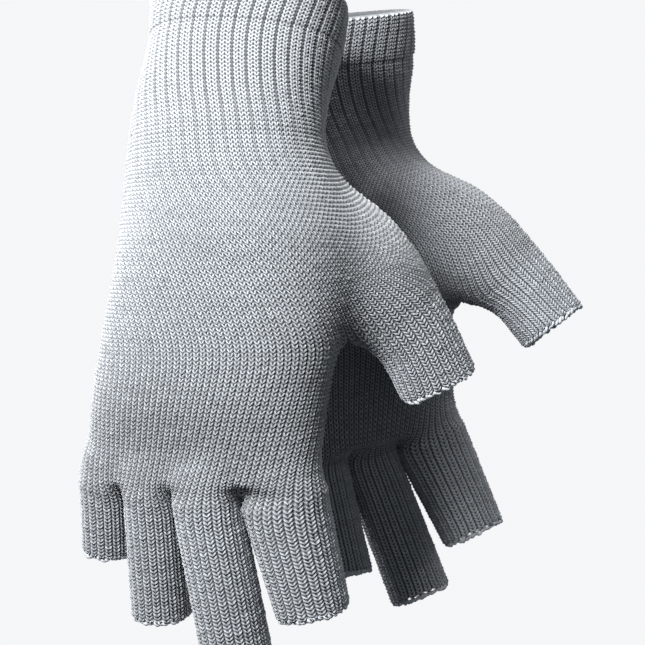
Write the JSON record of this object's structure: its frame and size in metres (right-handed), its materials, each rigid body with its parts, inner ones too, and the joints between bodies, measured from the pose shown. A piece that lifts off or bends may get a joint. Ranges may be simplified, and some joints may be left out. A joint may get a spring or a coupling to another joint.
{
  "type": "fingerless gloves",
  "caption": "Pair of knitted fingerless gloves, worn shape, with welted ribbed cuffs and open stalls for fingers and thumb that bend.",
  "frame": {"origin": "centre of the right glove's cuff opening", "axes": "+Z out of the cuffs, along the gloves' length, -Z towards the fingertips; +X towards the thumbs; the back of the right glove faces -Y"},
  "size_m": [0.1767, 0.1251, 0.2336],
  "materials": {
    "knit_yarn": "matt grey wool-blend yarn, knitted in stockinette and rib",
    "edge_yarn": "matt pale overlock thread",
    "elastic": "matt covered elastic"
  },
  "bodies": {
    "right_glove": {"right_cuff_welt": "knit_yarn", "right_cuff_elastic": "elastic", "right_ribbed_wrist": "knit_yarn", "right_thumb_palm": "knit_yarn", "right_finger_palm": "knit_yarn"},
    "right_little": {"right_little_stall": "knit_yarn", "right_little_edge": "edge_yarn"},
    "right_ring": {"right_ring_stall": "knit_yarn", "right_ring_edge": "edge_yarn"},
    "right_middle": {"right_middle_stall": "knit_yarn", "right_middle_edge": "edge_yarn"},
    "right_index": {"right_index_stall": "knit_yarn", "right_index_edge": "edge_yarn"},
    "right_thumb": {"right_thumb_stall": "knit_yarn", "right_thumb_edge": "edge_yarn"},
    "left_glove": {"left_cuff_welt": "knit_yarn", "left_cuff_elastic": "elastic", "left_ribbed_wrist": "knit_yarn", "left_thumb_palm": "knit_yarn", "left_finger_palm": "knit_yarn"},
    "left_little": {"left_little_stall": "knit_yarn", "left_little_edge": "edge_yarn"},
    "left_ring": {"left_ring_stall": "knit_yarn", "left_ring_edge": "edge_yarn"},
    "left_middle": {"left_middle_stall": "knit_yarn", "left_middle_edge": "edge_yarn"},
    "left_index": {"left_index_stall": "knit_yarn", "left_index_edge": "edge_yarn"},
    "left_thumb": {"left_thumb_stall": "knit_yarn", "left_thumb_edge": "edge_yarn"}
  },
  "joints": [
    {"name": "right_little_bend", "type": "hinge", "parent": "right_glove", "child": "right_little", "pos_m": [-0.04772, 0.0049, -0.16769], "axis": [0.9397, -0.342, 0], "range_deg": [-15, 60], "stiffness_Nm_per_rad": 0.02},
    {"name": "right_ring_bend", "type": "hinge", "parent": "right_glove", "child": "right_ring", "pos_m": [-0.03075, -0.00349, -0.1698], "axis": [0.9397, -0.342, 0], "range_deg": [-15, 60], "stiffness_Nm_per_rad": 0.02},
    {"name": "right_middle_bend", "type": "hinge", "parent": "right_glove", "child": "right_middle", "pos_m": [-0.01182, -0.01161, -0.17185], "axis": [0.9397, -0.342, 0], "range_deg": [-15, 60], "stiffness_Nm_per_rad": 0.02},
    {"name": "right_index_bend", "type": "hinge", "parent": "right_glove", "child": "right_index", "pos_m": [0.01374, -0.01344, -0.17178], "axis": [0.9397, -0.342, 0], "range_deg": [-15, 60], "stiffness_Nm_per_rad": 0.02},
    {"name": "right_thumb_bend", "type": "hinge", "parent": "right_glove", "child": "right_thumb", "pos_m": [0.05471, -0.00102, -0.11351], "axis": [0.6701, 0.5981, 0.4396], "range_deg": [-10, 45], "stiffness_Nm_per_rad": 0.02},
    {"name": "left_little_bend", "type": "hinge", "parent": "left_glove", "child": "left_little", "pos_m": [0.00744, 0.05388, -0.1684], "axis": [-0.9207, -0.3416, -0.1888], "range_deg": [-15, 60], "stiffness_Nm_per_rad": 0.02},
    {"name": "left_ring_bend", "type": "hinge", "parent": "left_glove", "child": "left_ring", "pos_m": [0.02443, 0.06237, -0.16695], "axis": [-0.9207, -0.3416, -0.1888], "range_deg": [-15, 60], "stiffness_Nm_per_rad": 0.02},
    {"name": "left_middle_bend", "type": "hinge", "parent": "left_glove", "child": "left_middle", "pos_m": [0.04335, 0.07059, -0.16509], "axis": [-0.9207, -0.3416, -0.1888], "range_deg": [-15, 60], "stiffness_Nm_per_rad": 0.02},
    {"name": "left_index_bend", "type": "hinge", "parent": "left_glove", "child": "left_index", "pos_m": [0.06844, 0.07241, -0.16027], "axis": [-0.9207, -0.3416, -0.1888], "range_deg": [-15, 60], "stiffness_Nm_per_rad": 0.02},
    {"name": "left_thumb_bend", "type": "hinge", "parent": "left_glove", "child": "left_thumb", "pos_m": [0.09824, 0.05695, -0.09624], "axis": [-0.5846, 0.6203, -0.523], "range_deg": [-10, 45], "stiffness_Nm_per_rad": 0.02},
    {"name": "pair_apart", "type": "slide", "parent": "right_glove", "child": "left_glove", "axis": [1, 0, 0], "range_m": [0, 0.15]}
  ]
}
